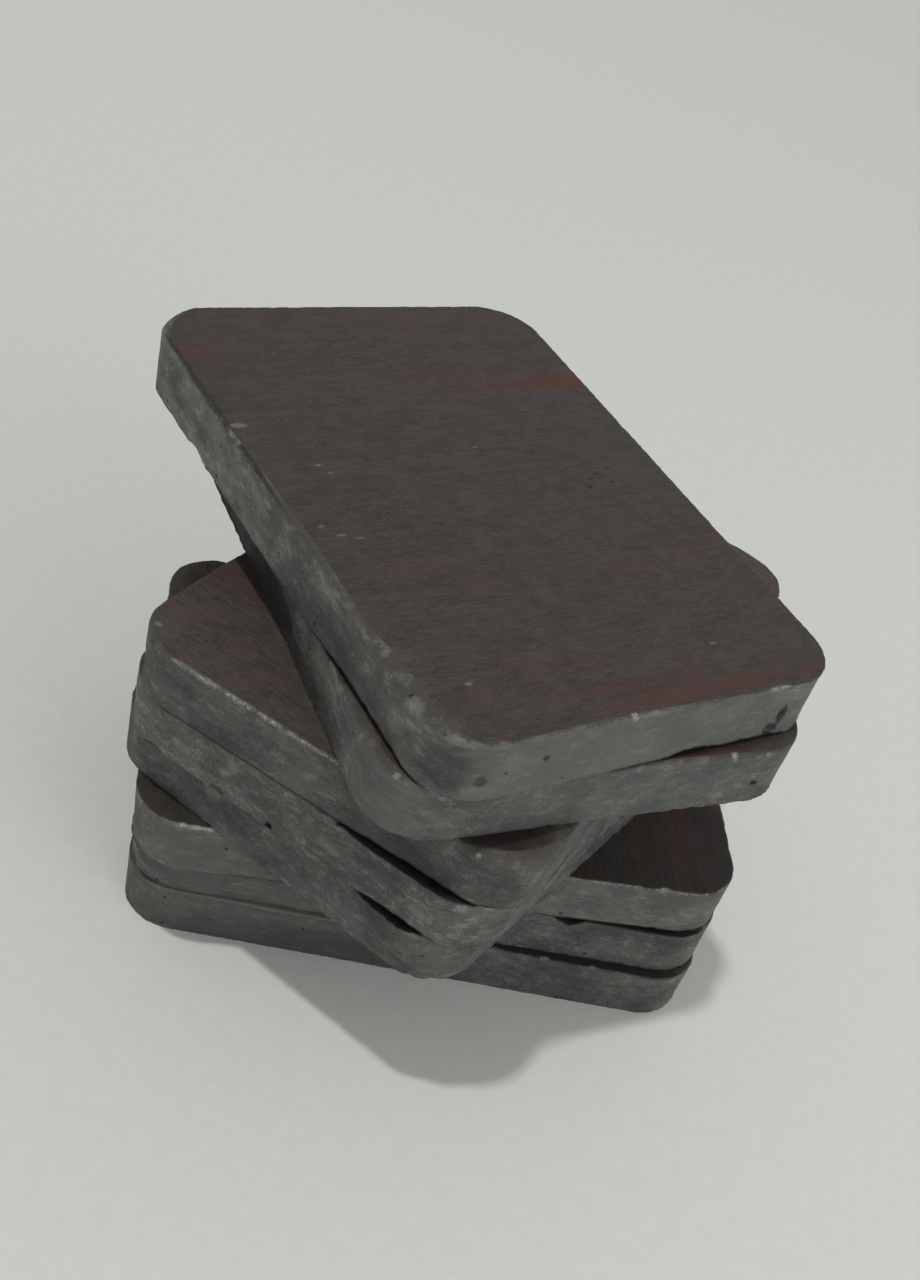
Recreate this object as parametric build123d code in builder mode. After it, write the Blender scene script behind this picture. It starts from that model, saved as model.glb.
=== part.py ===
from build123d import *
import os

# A free-standing stack of eight alike ferrite (ceramic) block magnets.
# Each one is a flat rectangular plate, pressed and sintered in one piece, with round upright corners.
# Its two broad faces are ground flat, and the blocks lie face to face, each turned on the one below
# about an upright axis through its own centre.
# Millimetres. The origin is the centre of the bottom block's underside, with +X along that block's
# long side and +Z up through the stack.

block_length = 40.0
block_width = 27.0
block_thickness = 4.0
corner_radius = 3.5  # the upright corners, as the press die leaves them
arris_break = 0.15  # the sharp edges round both ground faces, just taken off

# How each block lies, from the bottom up: its centre's place along X and Y, and the turn of its
# long side from +X in degrees, anticlockwise seen from above.
block_places = [
    (0.0, 0.0, 0.0),
    (-0.1, 0.5, 1.2),
    (-0.7, -0.3, 4.8),
    (0.15, -0.8, 55.0),
    (0.15, -1.4, 58.0),
    (0.15, -1.5, 60.7),
    (-1.9, -1.45, -65.6),
    (-2.9, -1.85, -58.5),
]

os.makedirs("parts", exist_ok=True)

for number, (place_x, place_y, turn) in enumerate(block_places, start=1):
    underside_z = (number - 1) * block_thickness
    underside = Plane(origin=(place_x, place_y, underside_z)).rotated((0, 0, turn))

    with BuildPart() as block:
        with BuildSketch(underside):
            RectangleRounded(block_length, block_width, corner_radius)
        extrude(amount=block_thickness)
        chamfer(block.faces().filter_by(Axis.Z).edges(), length=arris_break)

    block.part.label = f"block_{number}"
    export_step(block.part, f"parts/block_{number}.step")
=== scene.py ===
import math

import bmesh
import bpy
import numpy as np
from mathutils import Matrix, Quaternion, Vector


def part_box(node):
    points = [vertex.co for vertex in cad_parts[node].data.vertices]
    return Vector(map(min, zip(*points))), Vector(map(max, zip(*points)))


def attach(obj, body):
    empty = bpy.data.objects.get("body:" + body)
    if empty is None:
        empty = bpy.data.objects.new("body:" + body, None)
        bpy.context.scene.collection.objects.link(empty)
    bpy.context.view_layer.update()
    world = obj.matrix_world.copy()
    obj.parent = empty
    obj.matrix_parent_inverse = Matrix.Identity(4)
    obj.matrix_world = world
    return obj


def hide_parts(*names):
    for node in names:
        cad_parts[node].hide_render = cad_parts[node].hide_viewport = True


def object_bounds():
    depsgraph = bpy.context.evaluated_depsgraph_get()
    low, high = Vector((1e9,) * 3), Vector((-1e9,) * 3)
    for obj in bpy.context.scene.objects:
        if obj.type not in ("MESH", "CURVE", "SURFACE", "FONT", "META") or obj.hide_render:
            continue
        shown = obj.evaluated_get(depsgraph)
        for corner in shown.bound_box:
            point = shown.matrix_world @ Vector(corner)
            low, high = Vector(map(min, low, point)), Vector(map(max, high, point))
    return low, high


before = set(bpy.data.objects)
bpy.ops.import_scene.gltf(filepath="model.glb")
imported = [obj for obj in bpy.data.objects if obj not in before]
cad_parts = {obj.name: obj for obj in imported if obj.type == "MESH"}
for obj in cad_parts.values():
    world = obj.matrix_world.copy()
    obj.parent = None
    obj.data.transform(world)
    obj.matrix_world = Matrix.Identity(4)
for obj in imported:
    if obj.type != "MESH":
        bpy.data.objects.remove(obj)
cad_low, cad_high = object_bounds()

# A free-standing stack of ferrite block magnets. Each block stands for one CAD node: its size and its
# place come from that node, and this script adds what a real block has, such as its chipped edges, the
# uneven pressed sides and the ground faces. Places and sizes on a block are in millimetres, from the
# middle of its underside, with x along its long side and y along its short side. Its length and width
# are read from the bottom block's box, which isn't turned.
MM = 0.001
CORNER_RADIUS = 3.5  # of the upright corners, as in the CAD model
ROUND_POINTS = 1024  # points round a block's outline
SIDE_ROWS = 15  # rows of points down a pressed side
EDGE_ROWS = 5  # rows of points over a broken edge
EDGE_REACH = 0.07  # how far a plain edge is broken back over the face
EDGE_DROP = 0.06  # how far it is broken down the side
EDGE_UNEVEN = 0.03  # how much both vary along the edge
LEAST_BREAK = 0.02  # no edge is sharper than this
MOST_REACH = 2.6
MOST_DROP = 1.6
SMALL_CHIPS = 110  # tiny chips along each sharp edge
SMALL_PITS = 34  # tiny pits in each block's sides
MERGE_DISTANCE = 0.002  # points closer than this are one point
FIRST_SEED = 101  # the bottom block's random numbers, and each block above has the next seed
FLOOR_HALF_SIZE = 1500.0
FLOOR_DROP = 0.02  # the floor lies this far under the stack, so that the two faces don't flicker


# ---------------------------------------------------------------------------------------------------
# Camera

def make_camera():
    """From above and in front of the bottom block, with the camera rolled, as a phone held askew."""
    place = Vector((-11.74, -75.8, 77.35)) * MM
    aim = Vector((11.89, 1.47, 0.0)) * MM
    roll = math.radians(23.46)
    data = bpy.data.cameras.new("camera")
    data.lens = 39.76
    data.sensor_width = 36.0
    data.shift_x = -0.0859
    data.shift_y = 0.1641
    data.clip_start = 0.005
    data.clip_end = 10.0
    camera = bpy.data.objects.new("camera", data)
    bpy.context.scene.collection.objects.link(camera)
    camera.location = place
    camera.rotation_mode = "QUATERNION"
    camera.rotation_quaternion = (aim - place).to_track_quat("-Z", "Y") @ Quaternion((0, 0, 1), roll)
    bpy.context.scene.camera = camera


# ---------------------------------------------------------------------------------------------------
# Shader node helpers

class Shader:
    """A material's node tree, with one short method for each kind of node used here."""

    def __init__(self, name):
        self.material = bpy.data.materials.new(name)
        self.material.use_nodes = True
        self.tree = self.material.node_tree
        self.tree.nodes.clear()
        self.surface = self.tree.nodes.new("ShaderNodeBsdfPrincipled")
        output = self.tree.nodes.new("ShaderNodeOutputMaterial")
        self.tree.links.new(self.surface.outputs["BSDF"], output.inputs["Surface"])
        self.local = self.tree.nodes.new("ShaderNodeTexCoord").outputs["Object"]

    def put(self, socket, value):
        """Links a node's output, or sets a plain value."""
        if isinstance(value, bpy.types.NodeSocket):
            self.tree.links.new(value, socket)
        else:
            socket.default_value = value

    def combine(self, operation, first, second):
        """A Math node of two values, each a plain number or another node's output."""
        node = self.tree.nodes.new("ShaderNodeMath")
        node.operation = operation
        self.put(node.inputs[0], first)
        self.put(node.inputs[1], second)
        return node.outputs[0]

    def plus(self, first, second):
        return self.combine("ADD", first, second)

    def minus(self, first, second):
        return self.combine("SUBTRACT", first, second)

    def times(self, first, second):
        return self.combine("MULTIPLY", first, second)

    def over(self, first, second):
        return self.combine("DIVIDE", first, second)

    def larger(self, first, second):
        return self.combine("MAXIMUM", first, second)

    def scaled(self, scale, shift=(0.0, 0.0, 0.0)):
        """The block's own coordinates, in millimetres, times scale, plus shift."""
        node = self.tree.nodes.new("ShaderNodeMapping")
        self.put(node.inputs["Vector"], self.local)
        node.inputs["Scale"].default_value = [value / MM for value in scale]
        node.inputs["Location"].default_value = shift
        return node.outputs[0]

    def noise(self, per_mm, shift=(0.0, 0.0, 0.0), detail=3.0, roughness=0.5, distortion=0.0):
        """Noise from 0 to 1, with so many of its lumps to a millimetre along each axis."""
        node = self.tree.nodes.new("ShaderNodeTexNoise")
        self.put(node.inputs["Vector"], self.scaled(per_mm, shift))
        node.inputs["Scale"].default_value = 1.0
        node.inputs["Detail"].default_value = detail
        node.inputs["Roughness"].default_value = roughness
        node.inputs["Distortion"].default_value = distortion
        return node.outputs["Fac"]

    def cells(self, per_mm, shift):
        """Voronoi cells: the distance to each cell's point, and a random number for each cell."""
        node = self.tree.nodes.new("ShaderNodeTexVoronoi")
        self.put(node.inputs["Vector"], self.scaled((per_mm, per_mm, per_mm), shift))
        node.inputs["Scale"].default_value = 1.0
        pick = self.tree.nodes.new("ShaderNodeSeparateColor")
        self.tree.links.new(node.outputs["Color"], pick.inputs[0])
        return node.outputs["Distance"], pick.outputs[0]

    def ramp(self, value, low, high, start=0.0, end=1.0):
        """A smooth step from start to end as value goes from low to high."""
        node = self.tree.nodes.new("ShaderNodeMapRange")
        node.interpolation_type = "SMOOTHSTEP"
        self.put(node.inputs["Value"], value)
        node.inputs["From Min"].default_value = low
        node.inputs["From Max"].default_value = high
        node.inputs["To Min"].default_value = start
        node.inputs["To Max"].default_value = end
        return node.outputs[0]

    def mix(self, factor, first, second):
        """The first colour where factor is 0, and the second where it is 1."""
        node = self.tree.nodes.new("ShaderNodeMix")
        node.data_type = "RGBA"
        self.put(node.inputs["Factor"], factor)
        self.put(node.inputs[6], first)
        self.put(node.inputs[7], second)
        return node.outputs[2]

    def upward(self):
        """How far the surface faces up, from -1 to 1."""
        split = self.tree.nodes.new("ShaderNodeSeparateXYZ")
        normal = self.tree.nodes.new("ShaderNodeNewGeometry").outputs["Normal"]
        self.tree.links.new(normal, split.inputs[0])
        return split.outputs[2]

    def attribute(self, name):
        """One of the values that the mesh holds at its points: fracture, gap or worn."""
        node = self.tree.nodes.new("ShaderNodeAttribute")
        node.attribute_name = name
        return node.outputs["Fac"]

    def specks(self, per_mm, share, size, shift):
        """Small round specks: per_mm cells to a millimetre, a share of which hold one, of this size
        within its cell."""
        distance, pick = self.cells(per_mm, shift)
        chosen = self.ramp(pick, 1.0 - share, 1.0 - share + 0.02)
        return self.times(self.ramp(distance, size, size * 0.5), chosen)

    def patch(self, centre, half_size, ragged, unevenness):
        """A soft oval patch, full in its middle and gone at half_size, with its edge made uneven by a
        noise. A centre with only x and y reaches through the whole thickness of the block."""
        place = self.scaled((1.0, 1.0, 1.0))
        split = self.tree.nodes.new("ShaderNodeSeparateXYZ")
        self.tree.links.new(place, split.inputs[0])
        square = self.times(self.minus(ragged, 0.5), unevenness)
        for axis, (middle, half) in enumerate(zip(centre, half_size)):
            away = self.over(self.minus(split.outputs[axis], middle), half)
            square = self.plus(square, self.times(away, away))
        return self.ramp(square, 1.0, 0.15)

    def patches(self, start, places, ragged, unevenness):
        """The strongest of several patches, each a centre, half size and strength, and of start."""
        total = start
        for centre, half_size, strength in places:
            patch = self.patch(centre, half_size, ragged, unevenness)
            total = self.larger(total, self.times(patch, strength))
        return total

    def bump(self, height, distance_mm):
        """A normal bent by a height from 0 to 1, which stands for so many millimetres."""
        node = self.tree.nodes.new("ShaderNodeBump")
        node.inputs["Strength"].default_value = 1.0
        node.inputs["Distance"].default_value = distance_mm * MM
        self.put(node.inputs["Height"], height)
        return node.outputs[0]


# ---------------------------------------------------------------------------------------------------
# Materials

DARK_FERRITE = (0.030, 0.0245, 0.022)
BROWN_FERRITE = (0.067, 0.054, 0.047)
OLIVE_FERRITE = (0.051, 0.049, 0.041)
MAUVE_FERRITE = (0.069, 0.046, 0.041)
RUST = (0.090, 0.025, 0.018)
WORN_BROWN = (0.071, 0.066, 0.059)
EDGE_BROWN = (0.060, 0.053, 0.047)
SIDE_SHADE = (0.027, 0.028, 0.028)
SIDE_DARK = (0.066, 0.068, 0.063)
SIDE_GREY = (0.150, 0.154, 0.142)
SIDE_MIDDLE = (0.116, 0.119, 0.111)
SIDE_BLUE = (0.094, 0.106, 0.107)
SIDE_WARM = (0.142, 0.130, 0.112)
# Light grey of dust, crumbs, scratches and fresh breaks, also used for painted highlights.
DUST_AND_HIGHLIGHT_GREY = (0.260, 0.265, 0.248)
FRACTURE_GREY = (0.420, 0.420, 0.395)
# Painted black as shade in broken-out gaps.
GAP_SHADE_BLACK = (0.006, 0.004, 0.0035)
# Black of pits and dark specks, also used for painted shade in notches and under blocks.
PIT_AND_SHADE_BLACK = (0.012, 0.011, 0.010)
FLOOR_GREY = (0.668, 0.686, 0.652)
FLOOR_LIGHT = (0.688, 0.706, 0.672)


def tinted(colour, tone=1.0):
    """A colour socket's value: a colour made lighter or darker by tone."""
    return (colour[0] * tone, colour[1] * tone, colour[2] * tone, 1.0)


def ground_material(number, marks):
    """A ground face: fine grinding lines along the block's short side, in brown, olive and mauve, with rust
    streaks, patches of painted shade, worn edges, specks, and light smears, some of them painted
    highlights. Both ground faces of a block have it."""
    shader = Shader(f"ground_face_{number}")
    seed = 7.3 * number
    # A block's ground faces can be painted lighter or darker as a whole, standing in for light and shade.
    tone = marks.get("ground_light_and_shade", 1.0)
    grain = shader.noise((6.5, 5.0, 6.5), (seed, 0, 2), detail=4.0, roughness=0.75)
    fine = shader.noise((6.5, 0.9, 6.5), (seed, 0, 0), detail=4.0, roughness=0.65)
    lines = shader.noise((2.6, 0.10, 2.6), (seed, 3, 0), detail=3.0, roughness=0.6)
    bands = shader.noise((0.34, 0.035, 0.34), (seed, 7, 0), detail=2.0)
    mottle = shader.noise((0.8, 0.55, 0.8), (0, seed, 0), detail=4.0, roughness=0.6)
    tint = shader.noise((0.5, 0.32, 0.5), (seed, seed, 0), detail=4.0, roughness=0.65)
    ragged = shader.noise((2.2, 0.30, 2.2), (seed, 0, 5), detail=5.0, roughness=0.7)

    streaks = shader.plus(shader.times(fine, 0.40), shader.times(lines, 0.15))
    texture = shader.plus(streaks, shader.times(grain, 0.45))
    uneven = shader.plus(texture, shader.ramp(mottle, 0.3, 0.7, -0.03, 0.03))
    brown = shader.ramp(uneven, 0.39, 0.61)
    colour = shader.mix(brown, tinted(DARK_FERRITE, tone), tinted(BROWN_FERRITE, tone))
    colour = shader.mix(shader.ramp(tint, 0.50, 0.68, 0.0, 0.60), colour, tinted(OLIVE_FERRITE, tone))
    colour = shader.mix(shader.ramp(tint, 0.50, 0.32, 0.0, 0.60), colour, tinted(MAUVE_FERRITE, tone))

    rust = shader.ramp(bands, 0.54, 0.76, 0.0, 0.20)
    rust = shader.patches(rust, marks.get("rust", []), ragged, 2.2)
    rust = shader.times(rust, shader.ramp(texture, 0.38, 0.60, 0.50, 1.0))
    colour = shader.mix(rust, colour, tinted(RUST))
    # Painted shade: dark patches where a ground face lies beside or under the block above.
    painted_shade = shader.patches(0.0, marks.get("painted_shade", []), mottle, 0.8)
    colour = shader.mix(painted_shade, colour, tinted(DARK_FERRITE, 0.5))

    ragged_wear = shader.plus(shader.attribute("worn"), shader.ramp(mottle, 0.3, 0.7, -0.25, 0.15))
    ragged_wear = shader.plus(ragged_wear, shader.ramp(grain, 0.3, 0.7, -0.25, 0.15))
    worn = shader.times(shader.ramp(ragged_wear, 0.30, 1.0), 0.9)
    colour = shader.mix(worn, colour, tinted(WORN_BROWN))
    colour = shader.mix(shader.patches(0.0, marks.get("worn", []), grain, 3.0), colour, tinted(WORN_BROWN))

    # Light dust specks, and light smears, some of them painted highlights.
    light = shader.times(shader.specks(1.2, 0.05, 0.10, (seed, 0, 0)), 0.30)
    light = shader.patches(light, marks.get("smears_and_highlights", []), grain, 2.2)
    # Dark specks, and dark patches, some of them painted shade.
    dark = shader.times(shader.specks(1.7, 0.12, 0.15, (0, seed, 0)), 0.7)
    dark = shader.patches(dark, marks.get("dark", []), grain, 3.0)
    colour = shader.mix(light, colour, tinted(DUST_AND_HIGHLIGHT_GREY))
    colour = shader.mix(dark, colour, tinted(PIT_AND_SHADE_BLACK))
    colour = shader.mix(shader.times(shader.attribute("fracture"), 0.5), colour, tinted(DUST_AND_HIGHLIGHT_GREY))
    # Broken-out gaps are painted black, as shade.
    colour = shader.mix(shader.attribute("gap"), colour, tinted(GAP_SHADE_BLACK))
    shader.put(shader.surface.inputs["Base Color"], colour)

    shader.put(shader.surface.inputs["Roughness"], shader.ramp(texture, 0.3, 0.7, 0.52, 0.66))
    shader.surface.inputs["Specular IOR Level"].default_value = 0.3
    height = shader.plus(texture, shader.times(shader.minus(light, dark), 0.6))
    shader.put(shader.surface.inputs["Normal"], shader.bump(height, 0.05))
    return shader.material


def side_material(number, marks):
    """A pressed side: matte grey, clouded with dust, with level scratches, short upright scuffs, dark
    patches of painted shade and stains, pits, light smears (some of them painted highlights) and fresh
    chips with a painted sparkle. It also covers the broken edges, which are brown where they face up."""
    shader = Shader(f"pressed_side_{number}")
    seed = 4.1 * number
    tone = marks.get("side_tone", 1.0)
    clouds = shader.noise((0.30, 0.30, 0.45), (seed, 0, 0), detail=3.0, roughness=0.55)
    smudges = shader.noise((0.9, 0.9, 1.9), (0, seed, 0), detail=5.0, roughness=0.68, distortion=0.2)
    scratches = shader.noise((0.5, 0.5, 9.0), (seed, seed, 0), detail=3.0, roughness=0.65)
    scuffs = shader.noise((5.0, 5.0, 0.6), (0, seed, seed), detail=3.0, roughness=0.65)
    grain = shader.noise((7.0, 7.0, 7.0), (seed, 0, 9), detail=4.0, roughness=0.75)
    tint = shader.noise((0.35, 0.35, 0.6), (seed, 6, 0), detail=3.0, roughness=0.6)

    texture = shader.plus(shader.times(clouds, 0.55), shader.times(grain, 0.45))
    colour = shader.mix(shader.ramp(texture, 0.38, 0.62), tinted(SIDE_DARK, tone), tinted(SIDE_GREY, tone))
    colour = shader.mix(shader.ramp(tint, 0.56, 0.74, 0.0, 0.45), colour, tinted(SIDE_BLUE, tone))
    colour = shader.mix(shader.ramp(tint, 0.46, 0.30, 0.0, 0.45), colour, tinted(SIDE_WARM, tone))
    spread = shader.plus(shader.times(smudges, 0.7), shader.times(grain, 0.3))
    dust = shader.times(shader.ramp(spread, 0.49, 0.63), shader.ramp(clouds, 0.38, 0.60, 0.35, 1.0))
    colour = shader.mix(shader.times(dust, marks.get("dusty", 0.75)), colour, tinted(DUST_AND_HIGHLIGHT_GREY))
    rubbed = shader.times(shader.ramp(scuffs, 0.62, 0.80), shader.ramp(clouds, 0.48, 0.62))
    colour = shader.mix(shader.times(rubbed, 0.30), colour, tinted(DUST_AND_HIGHLIGHT_GREY))

    smooth = shader.patches(0.0, marks.get("smooth", []), clouds, 0.6)
    colour = shader.mix(smooth, colour, tinted(SIDE_MIDDLE, tone))
    strokes = shader.times(shader.ramp(scratches, 0.57, 0.70), shader.ramp(smudges, 0.42, 0.58))
    strokes = shader.times(strokes, shader.ramp(shader.upward(), 0.50, 0.15))
    scratched = shader.times(strokes, marks.get("scratched", 0.3))
    colour = shader.mix(scratched, colour, tinted(DUST_AND_HIGHLIGHT_GREY, 1.2))

    # Each block's own darkening of its sides, and dark patches on them: painted shade under overhangs and
    # beside seams, and a few stains.
    shade_and_stain = shader.patches(marks.get("side_shade", 0.1), marks.get("shade_and_stains", []), spread, 0.6)
    colour = shader.mix(shade_and_stain, colour, tinted(SIDE_SHADE))
    ragged_wear = shader.plus(shader.attribute("worn"), shader.ramp(grain, 0.3, 0.7, -0.30, 0.30))
    ragged_wear = shader.plus(ragged_wear, shader.ramp(spread, 0.4, 0.6, 0.15, -0.25))
    worn = shader.times(shader.ramp(ragged_wear, 0.30, 1.0), 0.75)
    colour = shader.mix(worn, colour, tinted(WORN_BROWN))

    # Light crumbs, and light smears, some of them painted highlights.
    crumbs_and_highlights = shader.times(shader.specks(3.2, 0.10, 0.20, (seed, 5, 0)), 0.45)
    crumbs_and_highlights = shader.times(crumbs_and_highlights, shader.minus(1.0, shade_and_stain))
    crumbs_and_highlights = shader.patches(crumbs_and_highlights, marks.get("smears_and_highlights", []), grain, 2.2)
    # Dark pits, and dark patches, some of them painted shade in notches and at the foot of a side.
    pits = shader.times(shader.specks(1.3, 0.09, 0.20, (seed, 2, 0)), 0.7)
    pits = shader.patches(pits, marks.get("dark", []), grain, 2.0)
    fracture = shader.attribute("fracture")
    unbroken = shader.minus(1.0, fracture)
    ragged_top = shader.plus(shader.upward(), shader.ramp(grain, 0.3, 0.7, -0.22, 0.22))
    ragged_top = shader.plus(ragged_top, shader.ramp(spread, 0.4, 0.6, 0.12, -0.14))
    brown = shader.times(shader.ramp(ragged_top, 0.55, 0.97, 0.0, 0.80), unbroken)
    colour = shader.mix(brown, colour, tinted(EDGE_BROWN))
    colour = shader.mix(crumbs_and_highlights, colour, tinted(DUST_AND_HIGHLIGHT_GREY))
    colour = shader.mix(pits, colour, tinted(PIT_AND_SHADE_BLACK))
    # Fresh breaks are light grey, with a sparkle painted on them as tiny highlights.
    sparkle = shader.ramp(grain, 0.44, 0.66, 0.15, 1.0)
    colour = shader.mix(shader.times(fracture, sparkle), colour, tinted(FRACTURE_GREY))
    # Broken-out gaps are painted black, as shade.
    colour = shader.mix(shader.attribute("gap"), colour, tinted(GAP_SHADE_BLACK))
    shader.put(shader.surface.inputs["Base Color"], colour)

    roughness = shader.minus(0.72, shader.times(fracture, 0.3))
    shader.put(shader.surface.inputs["Roughness"], roughness)
    shader.surface.inputs["Specular IOR Level"].default_value = 0.35
    relief = shader.minus(shader.plus(grain, smudges), shader.times(pits, 2.0))
    shader.put(shader.surface.inputs["Normal"], shader.bump(relief, 0.06))
    return shader.material


def floor_material():
    """Matte and pale, with the faintest grain."""
    shader = Shader("floor")
    grain = shader.noise((0.9, 0.9, 0.9), detail=4.0)
    colour = shader.mix(shader.ramp(grain, 0.3, 0.7), tinted(FLOOR_GREY), tinted(FLOOR_LIGHT))
    shader.put(shader.surface.inputs["Base Color"], colour)
    shader.surface.inputs["Roughness"].default_value = 0.8
    return shader.material


# ---------------------------------------------------------------------------------------------------
# Block meshes

def outline(length, width, radius, count):
    """Evenly spaced points round a rounded rectangle and their outward directions, anticlockwise from the
    middle of its +x side, with each point's distance along the outline and the length of the outline.
    Each run is a line from a point in a direction, or an arc round a point from an angle, in degrees."""
    half_x, half_y = length / 2 - radius, width / 2 - radius
    quarter = math.pi / 2 * radius
    runs = [
        ("line", (length / 2, 0.0), 90, half_y),
        ("arc", (half_x, half_y), 0, quarter),
        ("line", (half_x, width / 2), 180, 2 * half_x),
        ("arc", (-half_x, half_y), 90, quarter),
        ("line", (-length / 2, half_y), 270, 2 * half_y),
        ("arc", (-half_x, -half_y), 180, quarter),
        ("line", (-half_x, -width / 2), 0, 2 * half_x),
        ("arc", (half_x, -half_y), 270, quarter),
        ("line", (length / 2, -half_y), 90, half_y),
    ]
    around = sum(run[3] for run in runs)
    points, normals = [], []
    steps = np.arange(count) * around / count
    for step in steps:
        left = step
        for kind, start, degrees, run_length in runs:
            if left <= run_length:
                break
            left -= run_length
        if kind == "line":
            heading = math.radians(degrees)
            direction = np.array((math.cos(heading), math.sin(heading)))
            points.append(np.array(start) + direction * left)
            normals.append(np.array((direction[1], -direction[0])))
        else:
            angle = math.radians(degrees) + left / radius
            normal = np.array((math.cos(angle), math.sin(angle)))
            points.append(np.array(start) + normal * radius)
            normals.append(normal)
    return np.array(points), np.array(normals), steps, around


def smooth_noise(random, rows, count, row_reach, point_reach):
    """Noise over rows of a ring, smoothed over so many rows and points, from about -2 to 2."""
    values = random.normal(size=(rows, count))
    wave = np.fft.fftfreq(count)
    blur = np.exp(-2 * (math.pi * wave * point_reach) ** 2)
    values = np.fft.ifft(np.fft.fft(values, axis=1) * blur, axis=1).real
    if row_reach > 0:
        offsets = np.arange(rows)[:, None] - np.arange(rows)[None, :]
        weights = np.exp(-0.5 * (offsets / row_reach) ** 2)
        values = weights @ values
    return values / values.std()


def ring_gap(steps, centre, around):
    """Each outline point's distance along the ring from the place centre."""
    gap = np.abs(steps - centre)
    return np.minimum(gap, around - gap)


def arris(random, points, steps, around, marks):
    """How far each point of one sharp edge is broken back over the face (reach) and down the side (drop),
    how fresh and bright the break is, and how black it is painted, as shade. marks are the large ones, at
    given places: a fresh chip, small glints painted as highlights, a worn stretch rubbed round, a tight
    stretch that has kept its edge, or a gap where a flat piece has broken out, painted black as shade."""
    count = len(steps)
    reach = np.abs(EDGE_REACH + EDGE_UNEVEN * smooth_noise(random, 1, count, 0, 3.0)[0])
    drop = np.abs(EDGE_DROP + EDGE_UNEVEN * smooth_noise(random, 1, count, 0, 3.0)[0])
    fresh = np.zeros(count)
    black = np.zeros(count)
    ragged = np.abs(1.0 + 0.20 * smooth_noise(random, 1, count, 0, 1.2)[0])
    for _ in range(SMALL_CHIPS):
        gap = ring_gap(steps, random.uniform(0, around), around) / random.uniform(0.15, 0.7)
        shape = np.sqrt(np.clip(1 - gap**2, 0, 1))
        size = 0.06 + 0.17 * random.uniform(0, 1) ** 4
        reach = np.maximum(reach, size * shape * ragged)
        drop = np.maximum(drop, size * random.uniform(0.6, 1.2) * shape * ragged)
        fresh = np.maximum(fresh, np.clip(size * 5 - 0.6, 0, 0.4) * shape**2)
    for kind, (x, y), half_length, mark_reach, mark_drop in marks:
        nearest = np.argmin(np.hypot(points[:, 0] - x, points[:, 1] - y))
        gap = ring_gap(steps, steps[nearest], around) / half_length
        shape = np.clip(1 - gap**2, 0, 1)
        if kind in ("worn", "gap"):
            fresh *= 1 - np.clip(shape * 3, 0, 1)
        if kind == "tight":
            keep = 1 - np.clip(shape * 4, 0, 1) * 0.7
            reach, drop, fresh = reach * keep, drop * keep, fresh * keep
            continue
        if kind == "chip":
            shape = shape**0.6 * ragged
            fresh = np.maximum(fresh, np.clip(shape * 3, 0, 1))
        elif kind == "glint":
            fresh = np.maximum(fresh, np.clip(shape * 3, 0, 1) * np.clip(ragged - 0.55, 0, 1) * 2)
        elif kind == "gap":
            shape = shape * (0.5 + 0.5 * ragged)
            black = np.maximum(black, np.clip(shape * 5, 0, 1))
        reach = np.maximum(reach, mark_reach * shape)
        drop = np.maximum(drop, mark_drop * shape)
    reach = np.clip(reach, LEAST_BREAK, MOST_REACH)
    drop = np.clip(drop, LEAST_BREAK, MOST_DROP)
    return reach, drop, np.clip(fresh, 0, 1), black


def side_relief(random, points, heights, steps, around, thickness, pits):
    """How far each point of a pressed side stands in or out: slightly wavy, with small pits at random
    places and the given ones, which are a place on the outline, a height, a radius and a depth."""
    rows, count = len(heights), len(steps)
    relief = 0.030 * smooth_noise(random, rows, count, 5.0, 45.0)
    relief += 0.010 * smooth_noise(random, rows, count, 1.2, 4.0)
    for _ in range(SMALL_PITS):
        along = ring_gap(steps, random.uniform(0, around), around)[None, :]
        up = heights[:, None] - random.uniform(0.2, 0.8) * thickness
        size = random.uniform(0.18, 0.55)
        inside = np.clip(1 - (along**2 + up**2) / size**2, 0, 1)
        relief -= random.uniform(0.15, 0.40) * size * inside
    for (x, y), height, size, depth in pits:
        nearest = np.argmin(np.hypot(points[:, 0] - x, points[:, 1] - y))
        along = ring_gap(steps, steps[nearest], around)[None, :]
        up = heights[:, None] - height
        relief -= depth * np.clip(1 - (along**2 + up**2) / size**2, 0, 1)
    return relief


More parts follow.
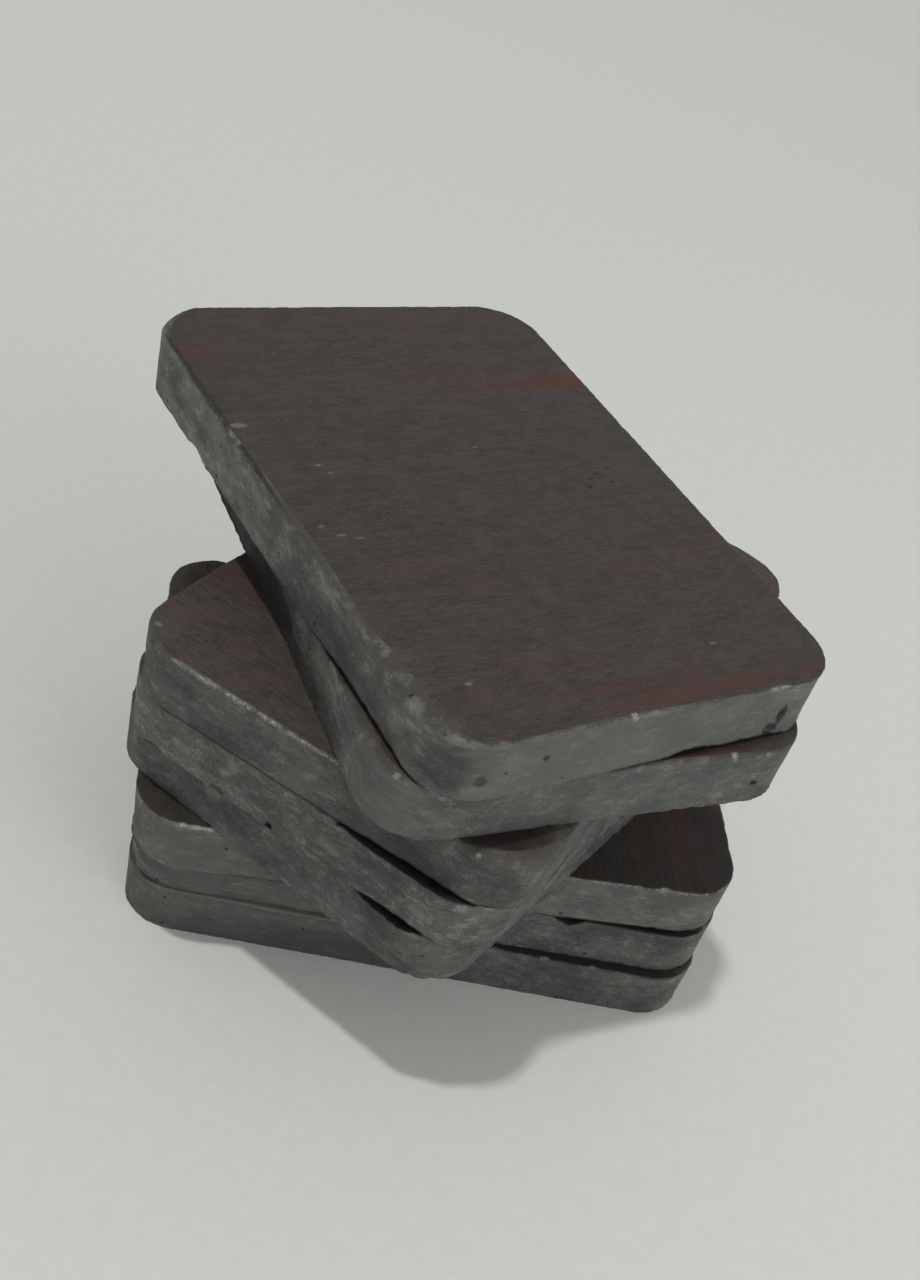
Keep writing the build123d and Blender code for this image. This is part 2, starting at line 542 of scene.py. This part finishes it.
def block_mesh(name, length, width, thickness, random, marks):
    """One block as rings of quads, from the middle of its top face, over the broken edge, down the side and
    under to the middle of its bottom face. Each ring is its points, their height, how fresh they are, and
    how black they are painted, as shade in a gap."""
    points, normals, steps, around = outline(length, width, CORNER_RADIUS, ROUND_POINTS)
    top_edge = arris(random, points, steps, around, marks.get("top_edge", []))
    bottom_edge = arris(random, points, steps, around, marks.get("bottom_edge", []))
    middle = np.stack([np.clip(points[:, 0], -(length - width) / 2, (length - width) / 2),
                       np.zeros(len(points))], axis=1)

    def face_rings(edge, height):
        """The rings of a flat face, from its middle out to its broken edge. The outer ones follow the
        outline as far in as the corners' radius nearly allows, and the inner ones shrink to a line."""
        reach, _, fresh, black = edge
        full = CORNER_RADIUS - 0.2
        rim = points - normals * full
        rings = []
        for share in (1.0, 0.55, 0.22):
            rings.append((rim + (middle - rim) * share, height, 0 * fresh, 0 * black))
        for share in (1.0, 0.62, 0.34, 0.14, 0.04, 0.0):
            inset = reach + (full - reach) * share
            outer = share == 0.0
            rings.append((points - normals * inset[:, None], height, fresh * outer, black * outer))
        return rings

    def edge_rings(edge, height, side):
        """The rings over a broken edge, between the face and the side. A fresh chip and a gap are scooped,
        and a worn edge is round. side is 1 for the top edge and -1 for the bottom one."""
        reach, drop, fresh, black = edge
        scoop = 0.15 + 0.65 * np.maximum(fresh, black)
        rings = []
        for step in range(1, EDGE_ROWS + 1):
            turn = step / (EDGE_ROWS + 1) * math.pi / 2
            worn_in, worn_down = 1 - math.sin(turn), 1 - math.cos(turn)
            chip_in, chip_down = math.cos(turn), math.sin(turn)
            inset = reach * (worn_in * (1 - scoop) + chip_in * scoop)
            down = drop * (worn_down * (1 - scoop) + chip_down * scoop)
            jitter = 0.02 * smooth_noise(random, 1, len(steps), 0, 1.0)[0]
            flat = points - normals * (inset + jitter)[:, None]
            rings.append((flat, height - side * down, fresh, black))
        return rings

    rings = face_rings(top_edge, np.full(len(steps), thickness))
    top_face_rings = len(rings)
    rings += edge_rings(top_edge, thickness, 1)

    # The rows lie closer together near the two edges than in the middle of the side.
    eased = (1 - np.cos(np.linspace(0, math.pi, SIDE_ROWS))) / 2
    shares = eased * 0.35 + np.linspace(0, 1, SIDE_ROWS) * 0.65
    relief = side_relief(random, points, thickness * (1 - shares), steps, around, thickness,
                         marks.get("pits", []))
    for row, share in enumerate(shares):
        height = (thickness - top_edge[1]) * (1 - share) + bottom_edge[1] * share
        near_top, near_bottom = max(0, 1 - share * 30), max(0, 1 - (1 - share) * 30)
        fresh = 0.35 * (top_edge[2] * near_top + bottom_edge[2] * near_bottom)
        black = top_edge[3] * near_top + bottom_edge[3] * near_bottom
        rings.append((points + normals * relief[row][:, None], height, fresh, black))
    rings += reversed(edge_rings(bottom_edge, 0.0, -1))
    bottom_start = len(rings)
    rings += reversed(face_rings(bottom_edge, np.zeros(len(steps))))

    count = len(steps)
    vertices = np.concatenate([np.column_stack([flat, np.broadcast_to(height, count)])
                               for flat, height, _, _ in rings])
    index = np.arange(len(rings) * count).reshape(len(rings), count)
    following = np.roll(index, -1, axis=1)
    faces = np.stack([index[:-1], index[1:], following[1:], following[:-1]], axis=-1).reshape(-1, 4)
    slots = np.ones(len(faces), dtype=int)
    face_ring = np.repeat(np.arange(len(rings) - 1), count)
    slots[face_ring < top_face_rings - 1] = 0
    slots[face_ring >= bottom_start] = 0

    mesh = bpy.data.meshes.new(name)
    mesh.from_pydata((vertices * MM).tolist(), [], faces.tolist())
    mesh.polygons.foreach_set("material_index", slots)
    mesh.polygons.foreach_set("use_smooth", np.ones(len(faces), dtype=bool))

    # A little wear on every sharp edge, fading within about a quarter of a millimetre, and more at the
    # given places along the top edge.
    inset = np.concatenate([np.hypot(*(points - ring[0]).T) for ring in rings])
    above, below = np.hypot(inset, thickness - vertices[:, 2]), np.hypot(inset, vertices[:, 2])
    worn = 0.45 * np.exp(-((np.minimum(above, below) / 0.22) ** 2))
    for (x, y), reach_along, reach_in, strength in marks.get("worn_edges", []):
        away = np.hypot(vertices[:, 0] - x, vertices[:, 1] - y) / reach_along
        worn = np.maximum(worn, strength * np.exp(-(away**4)) * np.exp(-((above / reach_in) ** 2)))
    fresh = np.concatenate([ring[2] for ring in rings])
    black = np.concatenate([ring[3] for ring in rings])
    # The gap values say how black a point is painted, as shade in a broken-out gap.
    for label, values in (("fracture", fresh), ("gap", black), ("worn", worn)):
        attribute = mesh.attributes.new(label, "FLOAT", "POINT")
        attribute.data.foreach_set("value", values.astype(np.float32))
    return mesh


def close_middle(mesh):
    """Joins the points that meet along the middle line of each face."""
    work = bmesh.new()
    work.from_mesh(mesh)
    bmesh.ops.remove_doubles(work, verts=work.verts, dist=MERGE_DISTANCE * MM)
    bmesh.ops.dissolve_degenerate(work, edges=work.edges, dist=MERGE_DISTANCE / 2 * MM)
    bmesh.ops.recalc_face_normals(work, faces=work.faces)
    work.to_mesh(mesh)
    work.free()


# What each block shows, at places on the block itself. A place on an edge or a side is (x, y) on the
# block's outline. A patch's centre is (x, y) for both ground faces, or (x, y, z) for one face or side.
#   top_edge, bottom_edge: chips, painted glints, worn and tight stretches, and gaps painted black as
#   shade, of the two sharp edges
#   worn_edges: wear and dust beside the top edge
#   rust, painted_shade, worn: rusty, painted-shade and rubbed patches on the ground faces
#   smears_and_highlights, dark: light patches of dust and painted highlights, and black patches of dark
#   specks and painted shade, on the ground faces and the sides
#   shade_and_stains, smooth: dark patches of painted shade and stains, and dust-free patches, on the sides
#   pits: pits in the sides, besides the random ones
#   side_shade, dusty, scratched: how dark, dusty and scratched all the sides are, from 0 to 1
#   side_tone: how light the sides' colours are made, where 1 is usual
#   ground_light_and_shade: how much lighter or darker the ground faces are painted, standing in for light
#   and shade, where 1 is usual

def chip(at, half_length, reach, drop):
    """A fresh, light break, which reaches so far over the face and drops so far down the side."""
    return "chip", at, half_length, reach, drop


def glint(at, half_length, reach, drop):
    """A row of tiny fresh breaks, with a sparkle painted on them as highlights."""
    return "glint", at, half_length, reach, drop


def worn(at, half_length, reach, drop):
    """A stretch of edge rubbed round."""
    return "worn", at, half_length, reach, drop


def gap(at, half_length, reach, drop):
    """A flat piece broken out, which leaves a wedge between two blocks, or a notch, painted black as shade.
    """
    return "gap", at, half_length, reach, drop


def tight(at, half_length):
    """A stretch that has kept its sharp edge."""
    return "tight", at, half_length, 0, 0


def patch(centre, half_size, strength):
    """A soft oval patch of colour."""
    return centre, half_size, strength


def worn_edge(at, along, inward, strength):
    """Wear and dust beside an edge, so far along it and inward from it."""
    return at, along, inward, strength


def pit(at, height, radius, depth):
    """A pit in a side, at a height over the block's underside."""
    return at, height, radius, depth


def block_8_marks():
    """The top block: a rust streak and specks on its open face, one long edge and one corner rubbed round
    and dusty, with highlights painted on that corner, pits near another corner, and flats broken out
    under its end and its long side."""
    return {
        "top_edge": [
            tight((3.0, 13.5), half_length=24.0),
            tight((-20.0, 0.0), half_length=13.0),
            worn((4.0, -13.5), half_length=13.0, reach=0.6, drop=0.4),
            worn((15.0, -13.5), half_length=6.0, reach=1.0, drop=0.65),
            worn((20.0, -2.0), half_length=9.0, reach=0.3, drop=0.22),
            worn((-18.6, -12.9), half_length=3.0, reach=0.55, drop=0.45),
            worn((-11.0, -13.5), half_length=5.0, reach=0.22, drop=0.14),
            glint((-6.5, -13.5), half_length=0.9, reach=0.12, drop=0.1),
            chip((20.0, -2.0), half_length=0.18, reach=0.2, drop=0.15),
            glint((20.0, 8.3), half_length=0.9, reach=0.16, drop=0.14),
        ],
        "bottom_edge": [
            gap((20.0, 3.4), half_length=2.6, reach=1.0, drop=0.42),
            gap((20.0, 7.5), half_length=3.2, reach=1.0, drop=0.2),
            gap((20.0, 0.3), half_length=2.6, reach=0.8, drop=0.1),
            worn((-10.8, -13.5), half_length=1.3, reach=0.6, drop=0.35),
            gap((12.3, -13.5), half_length=6.6, reach=1.2, drop=0.46),
        ],
        "rust": [
            patch((-10.4, 11.5), half_size=(1.1, 6.0), strength=0.95),
            patch((-10.2, 6.0), half_size=(0.6, 6.0), strength=0.4),
            patch((-12.2, 5.0), half_size=(0.5, 8.0), strength=0.3),
            patch((18.9, 3.8), half_size=(0.9, 9.0), strength=0.55),
            patch((17.6, -0.5), half_size=(0.7, 8.0), strength=0.35),
            patch((-15.0, -11.8), half_size=(1.6, 2.2), strength=0.45),
        ],
        "worn_edges": [
            worn_edge((4.0, -13.5), along=13.0, inward=0.9, strength=0.75),
            worn_edge((14.5, -13.5), along=6.0, inward=1.9, strength=0.95),
            worn_edge((20.0, 0.0), along=12.0, inward=0.4, strength=0.5),
        ],
        # Painted highlights along the rubbed corner and its edges, and light specks and smears on the face.
        "smears_and_highlights": [
            patch((16.2, -13.2, 3.75), half_size=(0.9, 0.5, 0.45), strength=0.38),
            patch((17.4, -12.8, 3.6), half_size=(0.5, 0.4, 0.4), strength=0.25),
            patch((18.9, -11.9, 3.75), half_size=(0.9, 1.3, 0.25), strength=0.35),
            patch((19.6, -10.4, 3.8), half_size=(0.4, 1.4, 0.2), strength=0.25),
            patch((12.4, -13.1, 4.0), half_size=(0.3, 0.35, 0.4), strength=0.3),
            patch((8.6, -13.3, 4.0), half_size=(0.5, 0.3, 0.4), strength=0.2),
            patch((15.6, -9.9, 4.0), half_size=(0.18, 0.3, 0.3), strength=0.35),
            patch((15.7, 6.3, 4.0), half_size=(0.15, 0.3, 0.3), strength=0.3),
            patch((-7.4, -12.7, 4.0), half_size=(0.3, 0.7, 0.3), strength=0.38),
            patch((-3.2, -9.6, 4.0), half_size=(0.1, 0.25, 0.3), strength=0.45),
            patch((-2.4, -9.2, 4.0), half_size=(0.1, 0.2, 0.3), strength=0.35),
            patch((-3.9, 1.3, 4.0), half_size=(0.1, 0.2, 0.3), strength=0.25),
            patch((2.2, -11.9, 4.0), half_size=(0.16, 0.25, 0.3), strength=0.3),
            patch((3.1, -11.1, 4.0), half_size=(0.15, 0.35, 0.3), strength=0.3),
            patch((3.5, -10.2, 4.0), half_size=(0.12, 0.35, 0.3), strength=0.25),
            patch((20.0, -0.5, 3.9), half_size=(0.3, 1.2, 0.2), strength=0.25),
        ],
        "dark": [
            patch((0.1, 7.6, 4.0), half_size=(0.16, 0.3, 0.3), strength=0.75),
            patch((-0.3, 8.3, 4.0), half_size=(0.12, 0.22, 0.3), strength=0.7),
            patch((0.6, 8.9, 4.0), half_size=(0.14, 0.28, 0.3), strength=0.7),
            patch((0.9, 7.0, 4.0), half_size=(0.18, 0.3, 0.3), strength=0.75),
            patch((0.4, 6.5, 4.0), half_size=(0.12, 0.22, 0.3), strength=0.6),
            patch((-0.8, 9.4, 4.0), half_size=(0.1, 0.2, 0.3), strength=0.6),
            patch((20.0, 9.1, 0.6), half_size=(0.4, 0.6, 0.45), strength=0.8),
            patch((20.0, 9.5, 1.7), half_size=(0.4, 0.35, 0.9), strength=0.75),
            patch((-9.0, -13.3, 4.0), half_size=(10.0, 0.22, 0.5), strength=0.6),
            patch((20.0, -10.9, 1.4), half_size=(0.4, 0.45, 0.45), strength=0.4),
            patch((20.0, -7.2, 2.3), half_size=(0.3, 0.2, 0.2), strength=0.55),
        ],
        # Painted shade low on the long side near block 7's end, and a dark patch low on a corner.
        "shade_and_stains": [
            patch((18.9, -12.6, 1.8), half_size=(1.9, 1.9, 2.2), strength=0.6),
            patch((8.0, -13.5, 0.0), half_size=(10.0, 1.0, 3.4), strength=0.7),
        ],
        "pits": [
            pit((20.0, 9.1), height=0.5, radius=0.55, depth=0.3),
            pit((20.0, 9.5), height=1.5, radius=0.4, depth=0.22),
            pit((20.0, 9.8), height=2.4, radius=0.25, depth=0.15),
            pit((20.0, -10.9), height=1.4, radius=0.5, depth=0.16),
            pit((20.0, -7.2), height=2.3, radius=0.25, depth=0.12),
        ],
        "smooth": [
            patch((20.0, -2.0, 2.0), half_size=(1.6, 17.0, 5.0), strength=0.65),
        ],
        "side_shade": 0.0,
        "side_tone": 1.12,
    }


def block_7_marks():
    """Its long side is painted dark as shade under block 8, darkest at its foot, its top is painted with
    shade under block 8's end, and its open end is rusty, with one deep pit.
    """
    return {
        "top_edge": [
            worn((20.0, 4.0), half_length=9.0, reach=0.4, drop=0.3),
            worn((16.0, -13.5), half_length=5.0, reach=0.7, drop=0.5),
            chip((20.0, 7.6), half_length=0.14, reach=0.15, drop=0.15),
        ],
        "rust": [
            patch((19.0, 3.0), half_size=(1.8, 9.0), strength=0.5),
            patch((16.0, -11.0), half_size=(3.0, 3.0), strength=0.25),
        ],
        # Painted shade on the top, under the end of block 8.
        "painted_shade": [
            patch((18.7, 4.5), half_size=(1.1, 9.0), strength=0.75),
        ],
        # Small highlights painted on the corner and on the open end.
        "smears_and_highlights": [
            patch((18.6, -12.7, 3.9), half_size=(0.25, 0.25, 0.3), strength=0.7),
            patch((16.1, -13.2, 3.9), half_size=(0.4, 0.3, 0.3), strength=0.2),
            patch((20.0, 7.6, 3.9), half_size=(0.2, 0.15, 0.15), strength=0.8),
            patch((20.0, 9.9, 3.9), half_size=(0.2, 0.15, 0.15), strength=0.6),
        ],
        "dark": [
            patch((20.0, 9.9, 1.5), half_size=(0.4, 0.28, 0.22), strength=0.85),
            # Painted shade along the foot of the long side, under block 8.
            patch((-5.0, -13.5, 0.0), half_size=(15.0, 0.5, 3.0), strength=0.62),
        ],
        # Painted shade on the long side under block 8.
        "shade_and_stains": [
            patch((-6.0, -13.5, 0.0), half_size=(15.0, 1.0, 7.5), strength=0.9),
            patch((9.0, -13.5, 0.0), half_size=(7.0, 1.0, 3.0), strength=0.7),
        ],
        "pits": [
            pit((20.0, 9.9), height=1.5, radius=0.3, depth=0.2),
        ],
        "smooth": [
            patch((20.0, 0.0, 2.0), half_size=(1.6, 12.0, 5.0), strength=0.35),
            patch((17.8, -12.4, 2.0), half_size=(3.6, 3.0, 5.0), strength=0.6),
        ],
        "side_shade": 0.1,
    }


def block_6_marks():
    """One corner is rubbed, with its top painted dark as shade under block 7, one top edge has glints
    painted as highlights, and a long flat is broken out under it, painted black as shade, with painted
    shade on the side above it. Its ground faces are painted lighter, standing in for light.
    """
    return {
        "top_edge": [
            glint((-20.0, 5.0), half_length=7.0, reach=0.12, drop=0.12),
            worn((-19.0, 12.0), half_length=2.5, reach=0.4, drop=0.3),
            worn((-18.6, -12.2), half_length=3.5, reach=0.8, drop=0.5),
        ],
        "bottom_edge": [
            gap((-20.0, -7.0), half_length=5.4, reach=2.4, drop=0.24),
            gap((-20.0, -1.0), half_length=6.0, reach=1.2, drop=0.13),
            gap((-20.0, 4.0), half_length=7.0, reach=0.8, drop=0.07),
            gap((-20.0, -10.8), half_length=1.8, reach=1.0, drop=0.1),
        ],
        "rust": [
            patch((-12.0, 12.5), half_size=(1.8, 3.5), strength=0.4),
            patch((-17.5, -10.5), half_size=(2.5, 3.0), strength=0.35),
        ],
        # Painted shade on the top of the open corner, under block 7.
        "painted_shade": [
            patch((-17.2, -9.6), half_size=(3.4, 4.6), strength=0.95),
        ],
        "worn": [
            patch((-18.4, 12.2), half_size=(1.5, 1.3), strength=0.55),
        ],
        "worn_edges": [
            worn_edge((-18.6, -12.4), along=4.0, inward=0.9, strength=0.9),
        ],
        # A light spot on the rubbed corner, and a highlight painted on the other corner.
        "smears_and_highlights": [
            patch((-18.3, 12.4, 4.0), half_size=(0.2, 0.3, 0.3), strength=0.5),
            patch((-19.9, -10.5, 3.7), half_size=(0.2, 0.2, 0.2), strength=0.8),
        ],
        # Painted shade low on the side, above the broken-out flat.
        "shade_and_stains": [
            patch((-20.0, -5.0, 0.4), half_size=(1.0, 7.0, 2.0), strength=0.55),
        ],
        "side_shade": 0.22,
        "dusty": 0.62,
        "side_tone": 0.88,
        # The ground faces are painted lighter, standing in for light on the top under the blocks above.
        "ground_light_and_shade": 1.3,
    }


def block_5_marks():
    """Flats broken out above and below one end, painted black as shade, a pit in the seam painted black as
    shade, and light smears.
    """
    return {
        "top_edge": [
            gap((-20.0, -7.4), half_length=4.6, reach=2.0, drop=0.28),
            gap((-20.0, -10.8), half_length=1.9, reach=1.0, drop=0.12),
            chip((-20.0, -9.6), half_length=0.2, reach=0.2, drop=0.2),
        ],
        "bottom_edge": [
            gap((-20.0, 10.0), half_length=0.7, reach=0.4, drop=0.32),
            gap((-20.0, 5.1), half_length=0.6, reach=0.5, drop=0.18),
            gap((-20.0, -8.2), half_length=2.8, reach=1.6, drop=0.22),
        ],
        "dusty": 1.0,
        "scratched": 0.6,
        # Light smears, partly painted highlights.
        "smears_and_highlights": [
            patch((-20.0, 4.2, 2.6), half_size=(0.4, 0.45, 0.45), strength=0.4),
            patch((-20.0, -9.4, 1.5), half_size=(0.4, 0.8, 0.5), strength=0.35),
            patch((-20.0, 8.0, 1.6), half_size=(0.4, 0.9, 0.4), strength=0.25),
            patch((-20.0, -3.0, 1.8), half_size=(0.4, 1.2, 0.5), strength=0.25),
        ],
        # Painted shade: the pit and the notch in the seam with block 4 painted black.
        "dark": [
            patch((-20.0, 1.2, 0.12), half_size=(0.4, 0.3, 0.3), strength=0.95),
            patch((-20.0, 5.1, 0.3), half_size=(0.4, 0.6, 0.25), strength=0.4),
        ],
        "pits": [
            pit((-20.0, 1.2), height=0.1, radius=0.35, depth=0.25),
        ],
        "side_shade": 0.14,
    }


def block_4_marks():
    """A deep flat broken out of its top edge, under the one of block 5, painted black as shade, with
    painted shade on its top where it shows through the notches above.
    """
    return {
        "top_edge": [
            gap((-20.0, -8.9), half_length=2.7, reach=1.8, drop=0.62),
        ],
        # Painted shade on the top where it shows through the notches in block 5.
        "dark": [
            patch((-20.0, 1.2, 3.95), half_size=(0.4, 0.28, 0.22), strength=0.95),
            patch((-20.0, 5.1, 4.0), half_size=(0.7, 0.8, 0.3), strength=0.6),
        ],
        "smears_and_highlights": [
            patch((-20.0, 4.6, 2.9), half_size=(0.4, 0.9, 0.8), strength=0.35),
        ],
        "side_shade": 0.28,
    }


def block_3_marks():
    """Its seam with block 2 is tight along most of one side, and opens towards the other end."""
    return {
        "top_edge": [
            glint((-16.5, -13.5), half_length=1.8, reach=0.16, drop=0.14),
            glint((12.0, -13.5), half_length=8.0, reach=0.1, drop=0.09),
        ],
        "bottom_edge": [
            tight((-9.0, -13.5), half_length=14.0),
            gap((13.0, -13.5), half_length=7.0, reach=0.8, drop=0.13),
        ],
        "rust": [
            patch((16.0, -7.0), half_size=(1.0, 7.0), strength=0.45),
            patch((13.0, -8.0), half_size=(0.7, 6.0), strength=0.3),
        ],
        # Sparkles painted as highlights along the top edge.
        "smears_and_highlights": [
            patch((-16.9, -13.3, 3.95), half_size=(0.3, 0.2, 0.2), strength=0.8),
            patch((-16.1, -13.4, 3.95), half_size=(0.35, 0.2, 0.2), strength=0.8),
            patch((-15.2, -13.4, 3.95), half_size=(0.3, 0.2, 0.2), strength=0.7),
        ],
        "smooth": [
            patch((-10.0, -13.5, 2.0), half_size=(15.0, 1.6, 5.0), strength=0.6),
            patch((12.0, -13.5, 2.0), half_size=(9.0, 1.6, 5.0), strength=0.35),
        ],
        "side_shade": 0.04,
        "scratched": 0.6,
        "side_tone": 1.08,
        # The ground faces are painted darker, as shade under the blocks above.
        "ground_light_and_shade": 0.7,
    }


def block_2_marks():
    """A deep notch in its top edge, and tight seams towards one end."""
    return {
        "top_edge": [
            tight((-9.0, -13.5), half_length=14.0),
            gap((9.2, -13.5), half_length=1.3, reach=1.2, drop=0.75),
            gap((12.5, -13.5), half_length=7.0, reach=1.0, drop=0.16),
        ],
        "bottom_edge": [
            tight((-11.0, -13.5), half_length=14.0),
        ],
        # Painted shade along one end of the long side, under the blocks that overhang it.
        "shade_and_stains": [
            patch((13.0, -13.5, 2.0), half_size=(12.0, 1.0, 6.0), strength=0.28),
        ],
        "smooth": [
            patch((-10.0, -13.5, 2.0), half_size=(15.0, 1.6, 5.0), strength=0.6),
        ],
        "side_shade": 0.05,
        "scratched": 0.5,
    }


def block_1_marks():
    """The bottom block: its top edge is rubbed and dusty where block 2 is almost flush with it."""
    return {
        "top_edge": [
            tight((-11.0, -13.5), half_length=14.0),
            worn((-7.5, -13.5), half_length=15.0, reach=0.55, drop=0.12),
        ],
        "bottom_edge": [
            tight((-2.0, -13.5), half_length=24.0),
        ],
        "worn_edges": [
            worn_edge((-9.0, -13.5), along=11.0, inward=0.8, strength=0.9),
        ],
        # Painted shade on the ledge under block 2.
        "painted_shade": [
            patch((9.0, -13.0), half_size=(14.0, 1.3), strength=0.75),
        ],
        "smears_and_highlights": [
            patch((-10.0, -13.3, 4.0), half_size=(12.0, 0.6, 0.4), strength=0.4),
        ],
        # Painted shade along one end of the long side under the overhang, and the lower part of the side
        # made darker.
        "shade_and_stains": [
            patch((13.0, -13.5, 2.0), half_size=(12.0, 1.0, 6.0), strength=0.34),
            patch((-5.0, -13.5, 0.0), half_size=(20.0, 1.5, 3.8), strength=0.5),
        ],
        "smooth": [
            patch((-10.0, -13.5, 2.0), half_size=(15.0, 1.6, 5.0), strength=0.6),
        ],
        "side_shade": 0.06,
        "scratched": 0.5,
    }


BLOCK_MARKS = {
    "block_1": block_1_marks(),
    "block_2": block_2_marks(),
    "block_3": block_3_marks(),
    "block_4": block_4_marks(),
    "block_5": block_5_marks(),
    "block_6": block_6_marks(),
    "block_7": block_7_marks(),
    "block_8": block_8_marks(),
}


def node_pose(name):
    """A CAD block's middle, underside height, thickness and turn, read from its mesh. Its long side's
    direction is taken from the largest upright face, and points towards +X."""
    low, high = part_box(name)
    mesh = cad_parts[name].data
    upright = [face for face in mesh.polygons if abs(face.normal.z) < 0.1]
    largest = max(upright, key=lambda face: face.area)
    turn = math.atan2(largest.normal.y, largest.normal.x) - math.pi / 2
    turn = (turn + math.pi / 2) % math.pi - math.pi / 2
    return (low + high) / 2, low.z, high.z - low.z, turn


def make_blocks():
    """One piece for each CAD block, in its place and turned with it, which rides on that block's body."""
    low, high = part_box("block_1")
    length, width = (high.x - low.x) / MM, (high.y - low.y) / MM
    for number, (name, marks) in enumerate(BLOCK_MARKS.items(), start=1):
        middle, underside, thickness, turn = node_pose(name)
        random = np.random.default_rng(FIRST_SEED + number - 1)
        mesh = block_mesh(f"ferrite_{name}", length, width, thickness / MM, random, marks)
        close_middle(mesh)
        mesh.materials.append(ground_material(number, marks))
        mesh.materials.append(side_material(number, marks))
        piece = bpy.data.objects.new(f"ferrite_{name}", mesh)
        bpy.context.scene.collection.objects.link(piece)
        piece.location = (middle.x, middle.y, underside)
        piece.rotation_euler = (0, 0, turn)
        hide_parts(name)
        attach(piece, name)


# ---------------------------------------------------------------------------------------------------
# Floor and lights

def make_floor():
    """A plain pale sheet under the stack."""
    size = FLOOR_HALF_SIZE * MM
    mesh = bpy.data.meshes.new("floor")
    corners = [(-size, -size, 0), (size, -size, 0), (size, size, 0), (-size, size, 0)]
    mesh.from_pydata(corners, [], [(0, 1, 2, 3)])
    mesh.materials.append(floor_material())
    floor = bpy.data.objects.new("floor", mesh)
    bpy.context.scene.collection.objects.link(floor)
    floor.location.z = cad_low.z - FLOOR_DROP * MM


def area_light(name, slant, distance, size, brightness, colour):
    """A round lamp that shines on the stack. slant is how far its light moves along X and Y for each metre
    down, which is the way the shadows fall. distance and size are in metres. brightness is the irradiance
    at the stack's middle of a face turned to the lamp, for a lamp that is small beside its distance."""
    data = bpy.data.lights.new(name, "AREA")
    data.shape = "DISK"
    data.size = size
    data.energy = brightness * math.pi * distance**2
    data.color = colour
    light = bpy.data.objects.new(name, data)
    bpy.context.scene.collection.objects.link(light)
    from_lamp = Vector((slant[0], slant[1], -1.0)).normalized()
    light.location = (cad_low + cad_high) / 2 - from_lamp * distance
    light.rotation_mode = "QUATERNION"
    light.rotation_quaternion = from_lamp.to_track_quat("-Z", "Y")


def make_lights():
    """A pale room, darker towards -X, with one lamp overhead and a soft window low in front."""
    world = bpy.data.worlds.new("studio")
    world.use_nodes = True
    tree = world.node_tree
    direction = tree.nodes.new("ShaderNodeTexCoord").outputs["Generated"]
    split = tree.nodes.new("ShaderNodeSeparateXYZ")
    tree.links.new(direction, split.inputs[0])
    strength = tree.nodes.new("ShaderNodeMapRange")
    tree.links.new(split.outputs[0], strength.inputs["Value"])
    strength.inputs["From Min"].default_value = -1.0
    strength.inputs["From Max"].default_value = 1.0
    strength.inputs["To Min"].default_value = 0.36
    strength.inputs["To Max"].default_value = 0.52
    tree.links.new(strength.outputs[0], tree.nodes["Background"].inputs["Strength"])
    tree.nodes["Background"].inputs["Color"].default_value = (1.0, 1.0, 1.0, 1.0)
    bpy.context.scene.world = world
    area_light("ceiling_lamp", slant=(0.194, 0.12), distance=2.0, size=0.10, brightness=1.06,
               colour=(1.0, 1.0, 0.98))
    area_light("window", slant=(-1.2, 1.42), distance=0.27, size=0.20, brightness=0.70,
               colour=(1.0, 1.0, 1.0))


make_camera()
make_floor()
make_blocks()
make_lights()
bpy.context.scene.view_settings.view_transform = "Standard"
